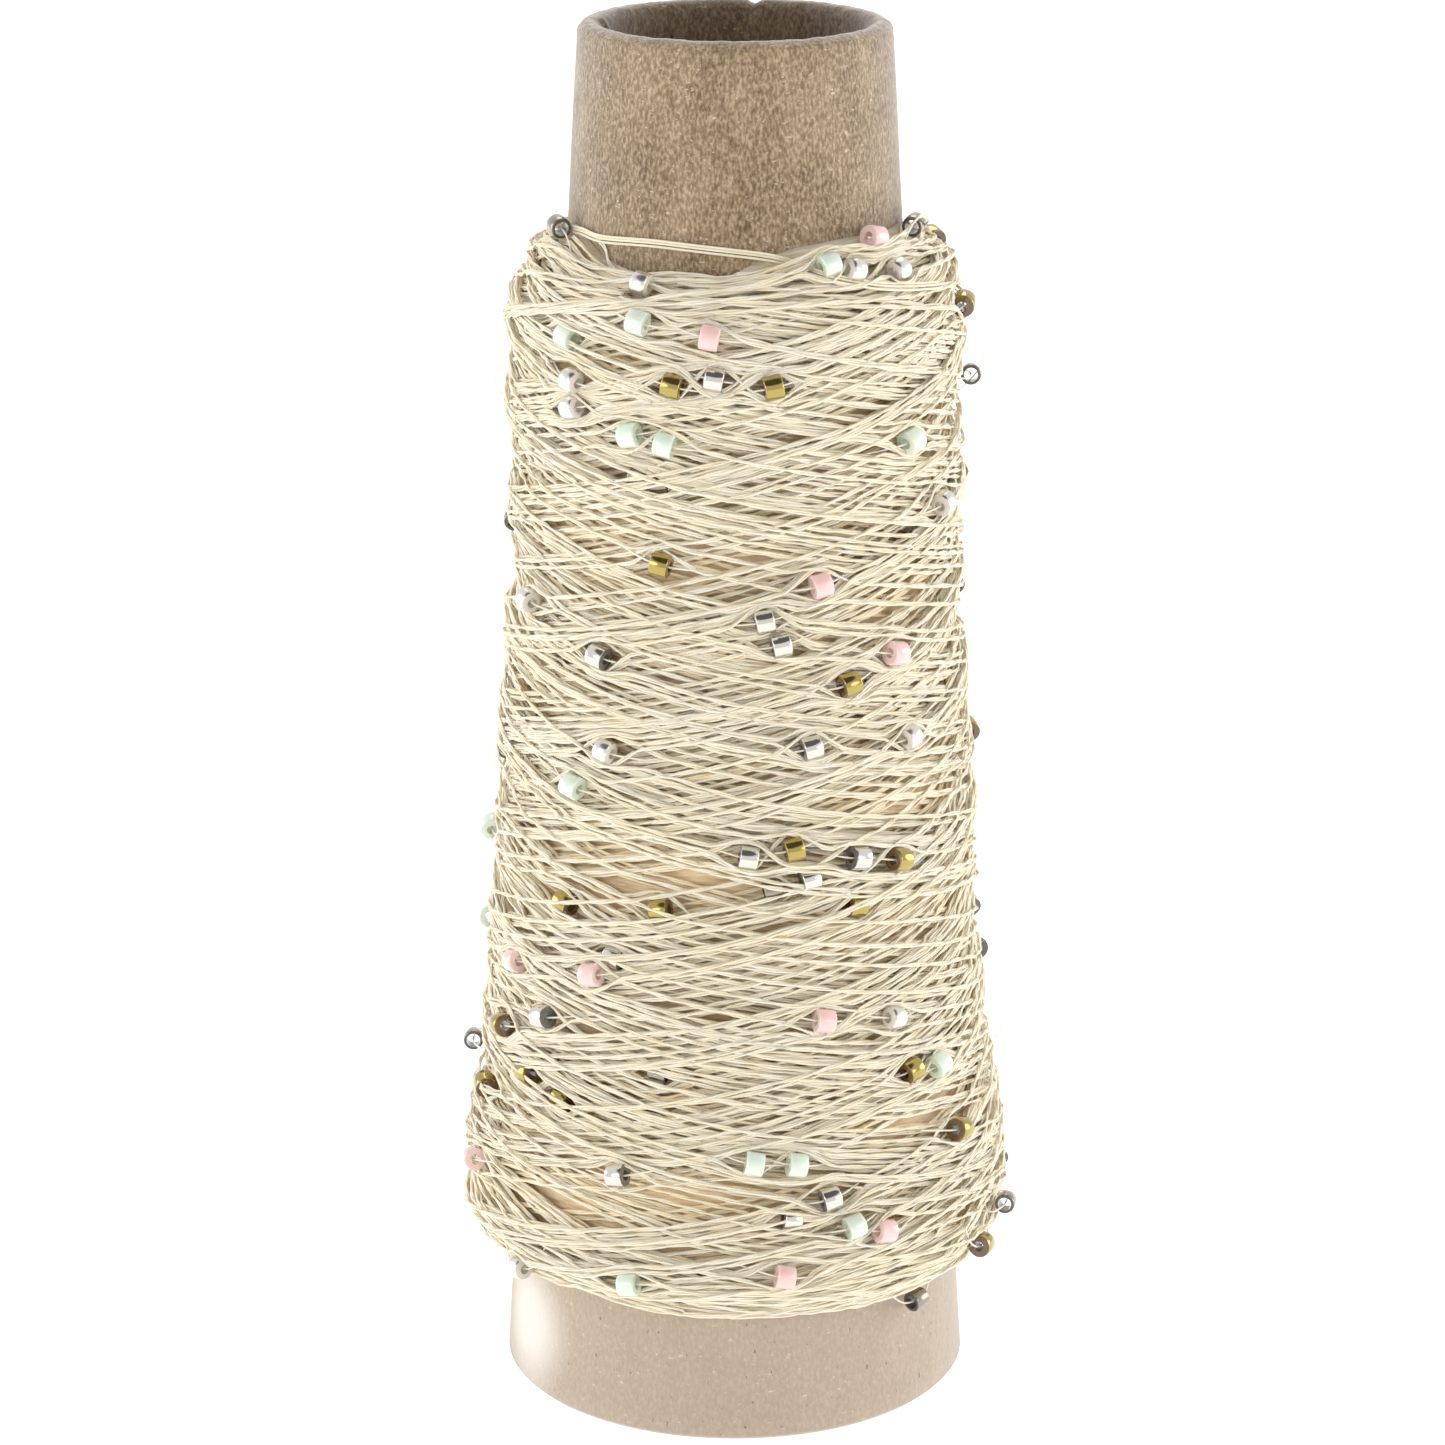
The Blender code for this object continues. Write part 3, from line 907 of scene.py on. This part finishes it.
strokes = []
first_column = 0
foot_end = foot_s
group_left = 0
for stroke in range(STROKES):
    rising = stroke % 2 == 0
    if rising:
        group_left -= 1
        shift = NEXT_TO_LAST
        if stroke < UNDER_STROKES:
            shift = UNDER_SHIFT
        elif stroke >= STROKES - LAST_STROKES:
            shift = laying.uniform(*NEXT_IN_LAST)
        elif group_left <= 0:
            group_left = int(laying.integers(*GROUP_STROKES))
            shift = laying.uniform(*NEXT_GROUP)
        nose_end = nose_s - END_SPREAD * laying.uniform() ** END_POWER
        start, end = foot_end, nose_end
    else:
        foot_end = foot_s + END_SPREAD * laying.uniform() ** END_POWER
        start, end = nose_end, foot_end
    count = int(COLUMNS * (TURNS_A_STROKE + shift / 2))
    for (column, along, laid, _), middle_height in zip(bead_stops, bead_heights):
        if laid == stroke:
            stamp_bead(column, along, middle_height)
    path = stroke_along(start, end, count)
    path = part_round_beads(path, first_column, stroke)
    height = lay(path, first_column)
    strokes.append((first_column, path, height))
    first_column += count - 1

# The finished turns settle until their tops follow the winding's outline.
tops = np.percentile(surface, SETTLED_PERCENT, axis=1)
averaged = 2 * SETTLED_ROWS + 1
tops = np.pad(tops, SETTLED_ROWS, mode="edge")
tops = np.convolve(tops, np.full(averaged, 1 / averaged), mode="valid")


def clear_of_loose_beads(points):
    """Keeps the yarn off the beads that turn, so that they turn freely."""
    for middle, bore in loose_places:
        along = (points - middle) @ bore
        across = points - middle - along[:, None] * bore
        distance = np.linalg.norm(across, axis=1)
        past_end = smooth_step(np.abs(along), BEAD_LENGTH / 2 + TURNING_ROOM, BEAD_LENGTH * 1.5)
        push = np.maximum((BEAD_DIAMETER / 2 + TURNING_ROOM) * (1 - past_end) - distance, 0)
        points = points + across * (push / distance)[:, None]
    return points


def yarn_line(first_column, path, height):
    """Points down the middle of a stroke, the way out, and the way across the yarn."""
    angle = (first_column + np.arange(len(path))) * column_angle
    settled = height - np.interp(path, row_s, tops)
    deepest = LYING_RADIUS - np.interp(path, outline_s, cone_depth)
    points, outward = on_winding(angle, path, np.maximum(settled, deepest))
    points = clear_of_loose_beads(points)
    ahead = np.gradient(points, axis=0)
    ahead /= np.linalg.norm(ahead, axis=1)[:, None]
    return points, outward, np.cross(ahead, outward)


def tube_piece(name, lines, thickness, sides, material, radii=None):
    """Round tubes along lines of points, as a mesh with its strips laid out on a map."""
    curve = bpy.data.curves.new(name, "CURVE")
    curve.dimensions = "3D"
    curve.twist_mode = "Z_UP"
    curve.bevel_depth = thickness
    curve.bevel_resolution = (sides - 4) // 2
    curve.use_fill_caps = True
    for index, line in enumerate(lines):
        spline = curve.splines.new("POLY")
        spline.points.add(len(line) - 1)
        spline.points.foreach_set("co", np.c_[line, np.ones(len(line))].ravel())
        if radii is not None:
            spline.points.foreach_set("radius", radii[index])
    maker = bpy.data.objects.new(name + "_line", curve)
    scene.collection.objects.link(maker)
    now = bpy.context.evaluated_depsgraph_get()
    mesh = bpy.data.meshes.new_from_object(maker.evaluated_get(now), depsgraph=now)
    bpy.data.objects.remove(maker)
    mesh.name = name
    mesh.materials.clear()
    mesh.materials.append(material)
    mesh.shade_smooth()
    map_strips(mesh, lines, sides)
    piece = bpy.data.objects.new(name, mesh)
    scene.collection.objects.link(piece)
    return piece


def map_strips(mesh, lines, sides):
    """Lays the tubes out as strips, so that a texture on this map has no waste."""
    while mesh.uv_layers:
        mesh.uv_layers.remove(mesh.uv_layers[0])
    layer = mesh.uv_layers.new(name="OFBake")
    caps = 2 * sides * len(lines)
    corner = np.empty(len(mesh.loops), np.int32)
    mesh.loops.foreach_get("vertex_index", corner)
    start = np.empty(len(mesh.polygons), np.int32)
    total = np.empty(len(mesh.polygons), np.int32)
    mesh.polygons.foreach_get("loop_start", start)
    mesh.polygons.foreach_get("loop_total", total)
    face = np.repeat(np.arange(len(start)), total)
    ring = (corner - caps) // sides
    side = (corner - caps) % sides
    lowest = np.minimum.reduceat(ring, start)
    widest = np.maximum.reduceat(side, start) - np.minimum.reduceat(side, start)
    side = np.where((widest[face] > 1) & (side == 0), sides, side)
    rings = sum(len(line) for line in lines)
    strip = lowest * MAP_ROWS // rings
    across = (ring - strip[face] * rings / MAP_ROWS) * MAP_ROWS / rings
    up = (strip[face] + 0.1 + 0.8 * side / sides) / MAP_ROWS
    places = np.stack((np.clip(across, 0, 1), up), axis=1)
    places[ring < 0] = 0
    layer.uv.foreach_set("vector", places.astype(np.float32).ravel())


def plies(group, stride):
    """The singles of a run of strokes, lying side by side and slowly changing places."""
    lines = [[] for _ in range(PLIES)]
    turn = laying.uniform(0, 2 * math.pi)
    for first_column, path, height in group:
        points, outward, sideways = (part[::stride] for part in yarn_line(first_column, path, height))
        length = np.linalg.norm(np.diff(points, axis=0, prepend=points[:1]), axis=1)
        pitch = np.interp(wander(len(points), PITCH_REACH), (-2, 2), PLY_PITCH)
        phase = turn + np.cumsum(2 * math.pi * length / pitch)
        turn = phase[-1]
        for ply, line in enumerate(lines):
            lean = (phase + 2 * math.pi * ply / PLIES)[:, None]
            aside = sideways * PLY_SPREAD * np.cos(lean)
            line.append(points + aside + outward * PLY_RISE * np.sin(lean))
    return [np.concatenate(line) for line in lines]


def show_yarn(piece):
    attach(piece, "root")
    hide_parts("yarn_winding")


def yarn_pieces(name, layer, in_piece, stride, radius, material):
    """Splits a layer of yarn into pieces of so many strokes each."""
    for number, start in enumerate(range(0, len(layer), in_piece), start=1):
        lines = plies(layer[start:start + in_piece], stride)
        slubs = [1 + SLUB_SHARE * wander(len(line), SLUB_REACH) for line in lines]
        show_yarn(tube_piece(f"{name}_{number:02d}", lines, radius, PLY_SIDES, material, slubs))


under = strokes[:UNDER_STROKES]
shown = strokes[UNDER_STROKES:]
# The lower strokes wear the darker copy of the cotton: painted shade.
yarn_pieces("yarn_under", under, UNDER_A_PIECE, UNDER_STRIDE, UNDER_RADIUS, under_shade_material)
yarn_pieces("yarn_turns", shown, STROKES_A_PIECE, PLY_STRIDE, PLY_RADIUS, yarn_material)

# ---- Carrier thread ------------------------------------------------------------------
# The fine glossy thread that the beads are strung on. It runs inside the yarn, and shows
# where it goes into a bead and in the arches that the loose beads turn on.
THREAD_RADIUS = 0.00011
THREAD_SIDES = 6
THREAD_ROUGHNESS = 0.45
THREAD_SHEEN = 0.2
THREAD_GRAIN = (2500, 2500, 2500)
ARCH_POINTS = 9
ARCH_SMOOTHED = 31
PASS_REACH = 0.0055
PASS_SHARES = (-1, -0.6, -0.25, 0, 0.25, 0.6, 1)
PASS_SUNK = (0.0019, 0.0008, 0.0, 0.0, 0.0, 0.0008, 0.0019)
PASS_SMOOTHED = 15
ARCH_SINK = 0.0018
ARCH_BACK = 0.0036
ARCH_BEND_POWER = 3
ARCH_NEAR_END = 0.004
THREAD_IVORY = (0.86, 0.82, 0.72, 1.0)


def thread_finish():
    material, shader = new_material("ivory_thread", THREAD_ROUGHNESS)
    tree = material.node_tree
    where = tree.nodes.new("ShaderNodeTexCoord").outputs["Object"]
    twist = noise_of(tree, where, THREAD_GRAIN, Detail=1)
    tree.links.new(mix_of(tree, twist, YARN_CREAM, THREAD_IVORY), shader.inputs["Base Color"])
    set_inputs(shader, {"Sheen Weight": THREAD_SHEEN})
    return material


def sunk_ends(line):
    """Leads both ends of an arch into the yarn, and back to it where a bead hangs past it."""
    middle = line[ARCH_POINTS // 2]
    middle_height = (winding_low.z + winding_high.z) / 2
    if min(middle[2] - winding_low.z, winding_high.z - middle[2]) < ARCH_NEAR_END:
        bend = np.abs(np.linspace(-1, 1, ARCH_POINTS)) ** ARCH_BEND_POWER
        line = line.copy()
        line[:, 2] += bend * math.copysign(ARCH_BACK, middle_height - middle[2])
    tips = line[[0, -1]]
    inward = tips * (-1, -1, 0) / np.hypot(tips[:, 0], tips[:, 1])[:, None]
    ends = tips + inward * ARCH_SINK
    return np.concatenate((ends[:1], line, ends[1:]))


def arch_line(node, bore):
    """The middle of a CAD thread arch, ring by ring along its bead's bore."""
    mesh = frame["nodes"][node].data
    points = np.array([vert.co for vert in mesh.vertices], float)
    middle = (points.max(0) + points.min(0)) / 2
    along = (points - middle) @ bore
    share = (along - along.min()) / (along.max() - along.min())
    ring = np.rint(share * (ARCH_POINTS - 1))
    return np.array([points[ring == number].mean(axis=0) for number in range(ARCH_POINTS)])


def smooth_line(points, count):
    """A Catmull-Rom line through the points."""
    ends = np.concatenate(([2 * points[0] - points[1]], points, [2 * points[-1] - points[-2]]))
    place = np.linspace(0, len(points) - 1 - 1e-6, count)
    knot = place.astype(int)
    share = (place - knot)[:, None]
    a, b, c, d = (ends[knot + step] for step in range(4))
    bend = (2 * a - 5 * b + 4 * c - d) * share**2 + (3 * b - a - 3 * c + d) * share**3
    return 0.5 * (2 * b + (c - a) * share + bend)


def through_bead(middle, bore):
    """A length of thread through a pinned bead, down under the yarn on both sides."""
    shares = np.array(PASS_SHARES)
    sunk = np.array(PASS_SUNK)
    outward = np.array((middle[0], middle[1], 0))
    outward = outward / np.linalg.norm(outward)
    line = middle + shares[:, None] * PASS_REACH * bore - sunk[:, None] * outward
    flat = np.linalg.norm(line[:, :2], axis=1)
    bow = flat - math.hypot(middle[0], middle[1]) + sunk
    return smooth_line(line - bow[:, None] * outward, PASS_SMOOTHED)


thread_material = thread_finish()
arches = []
for node in loose_nodes:
    _, bore = bead_on_node(node)
    line = sunk_ends(arch_line(node.replace("loose_bead", "bead_thread"), bore))
    arches.append(smooth_line(line, ARCH_SMOOTHED))
arch_piece = tube_piece("thread_arches", arches, THREAD_RADIUS, THREAD_SIDES, thread_material)
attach(arch_piece, "root")
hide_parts(*[node.replace("loose_bead", "bead_thread") for node in loose_nodes])

passes = []
for _, middle, bore, depth in wound_beads:
    if depth < SHOWN_DEPTH and winding_low.z + PASS_REACH < middle[2] < winding_high.z - PASS_REACH:
        passes.append(through_bead(middle, bore))
pass_piece = tube_piece("thread_through_beads", passes, THREAD_RADIUS, THREAD_SIDES, thread_material)
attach(pass_piece, "root")

# ---- Loose beads ---------------------------------------------------------------------
# Beads on the outermost turns that the yarn doesn't hold down. Each stands on its own
# arch of thread and turns on it.
record_slots = {row["node"]: row["material_slot"] for row in frame["record"]["subparts"]}
for number, node in enumerate(loose_nodes, start=1):
    middle, bore = bead_on_node(node)
    record_slot = record_slots[node]
    finish = "clear" if node in CLEAR_NODES else LOOSE_FINISHES.get(record_slot, "dark")
    piece = beads_piece(f"loose_glass_{number:02d}", finish, [(middle, bore)])
    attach(piece, node + "_body")
    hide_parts(node)

# ---- Stray strands and fuzz ----------------------------------------------------------
# One slack turn and a bit of doubled thread lie over the bare board above the sagged edge
# of the winding. Small slack loops and fine ends of cotton stand off the yarn.
STRAY_SIDES = 6
# Degrees from the front and heights that the slack turn passes, and the doubled thread.
CHORD_POINTS = (
    (-84, 0.1440), (-74, 0.1458), (-62, 0.1464), (-50, 0.1462), (-24, 0.1466),
    (9, 0.1455), (27, 0.1434), (42, 0.1418), (64, 0.1404),
)
CHORD_SMOOTHED = 120
CHORD_LIFT = 0.0005
CHORD_MEETS_YARN = (6, 26)
CHORD_SIDES = (-0.0003, 0.0001, 0.0004)
DOUBLED_POINTS = ((-53, 0.1462), (-48, 0.1452), (-46, 0.1437), (-40, 0.1423), (-35, 0.1412))
DOUBLED_SMOOTHED = 30
DOUBLED_SIDES = (-0.000175, 0.000175)
DOUBLED_LIFT = 0.0003
LOOP_RADIUS = 0.00008
LOOP_SHARES = np.linspace(-0.1, 1.1, 17)
LOOP_LEAN = 0.05
# Slack loops: degrees from the front, height, how far they stand off, and their span.
SLACK_LOOPS = (
    (88, 0.1290, 0.0022, 0.0060), (91, 0.1150, 0.0010, 0.0035), (86, 0.1020, 0.0013, 0.0030),
    (94, 0.0990, 0.0012, 0.0045), (90, 0.0705, 0.0011, 0.0040), (87, 0.0430, 0.0014, 0.0030),
    (-90, 0.1265, 0.0013, 0.0045), (-93, 0.0790, 0.0010, 0.0040), (172, 0.0920, 0.0014, 0.0050),
)
FUZZ_COUNT = 900
FUZZ_RADIUS = 0.000014
FUZZ_SIDES = 4
FUZZ_POINTS = 5
FUZZ_LENGTH = (0.0012, 0.0042)
FUZZ_LIFT = (0.0003, 0.0011)
FUZZ_ARCH = (1.6, 3.0)
FUZZ_HEADING = 0.5
FUZZ_CLIMB = 0.6
FUZZ_ROOT = 0.0001
FUZZ_RADIUS_OUT = 0.03


def stray_line(points, count, sideways, lift, meets_yarn=None):
    """A line through degrees and heights that lies on the board, and then on the yarn."""
    places = smooth_line(np.array(points, float), count)
    angles = np.radians(places[:, 0])
    heights = places[:, 1] + sideways
    radius = cone_radius(heights) + lift
    if meets_yarn:
        on_yarn = np.interp(heights, outline_z, outline_r)
        radius = np.maximum(radius, on_yarn * smooth_step(places[:, 0], *meets_yarn))
    return np.stack((radius * np.sin(angles), -radius * np.cos(angles), heights), axis=1)


chords = [
    stray_line(CHORD_POINTS, CHORD_SMOOTHED, side, CHORD_LIFT, CHORD_MEETS_YARN)
    for side in CHORD_SIDES
]
show_yarn(tube_piece("slack_turn", chords, PLY_RADIUS, STRAY_SIDES, yarn_material))
doubles = [stray_line(DOUBLED_POINTS, DOUBLED_SMOOTHED, side, DOUBLED_LIFT) for side in DOUBLED_SIDES]
doubled = tube_piece("doubled_thread", doubles, THREAD_RADIUS, THREAD_SIDES, thread_material)
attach(doubled, "root")


def slack_loop(degrees, height, rise, span):
    """An upright loop that comes out of the yarn and goes back in."""
    along = along_at(height) + span * (LOOP_SHARES - 0.5)
    angle = math.radians(degrees) + LOOP_LEAN * np.sin(math.pi * LOOP_SHARES)
    points, _ = on_winding(angle, along, rise * np.sin(math.pi * LOOP_SHARES))
    return points


loop_lines = [slack_loop(*loop) for loop in SLACK_LOOPS]
loops = tube_piece("slack_loops", loop_lines, LOOP_RADIUS, STRAY_SIDES, yarn_material)
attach(loops, "root")

fuzz_draw = np.random.default_rng(YARN_SEED + 1)
fuzz = []
for _ in range(FUZZ_COUNT):
    angle, along = fuzz_draw.uniform((0, foot_s), (2 * math.pi, nose_s))
    length = fuzz_draw.uniform(*FUZZ_LENGTH)
    lift = fuzz_draw.uniform(*FUZZ_LIFT)
    heading = fuzz_draw.normal(0, FUZZ_HEADING)
    shares = np.linspace(0, 1, FUZZ_POINTS)
    across = length * shares * math.cos(heading) / FUZZ_RADIUS_OUT
    up = length * shares * math.sin(heading) * FUZZ_CLIMB
    height = lift * np.sin(shares * fuzz_draw.uniform(*FUZZ_ARCH)) - FUZZ_ROOT
    points, _ = on_winding(angle + across, np.clip(along + up, foot_s, nose_s), height)
    fuzz.append(points)
fuzz_piece = tube_piece("cotton_fuzz", fuzz, FUZZ_RADIUS, FUZZ_SIDES, yarn_material)
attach(fuzz_piece, "root")
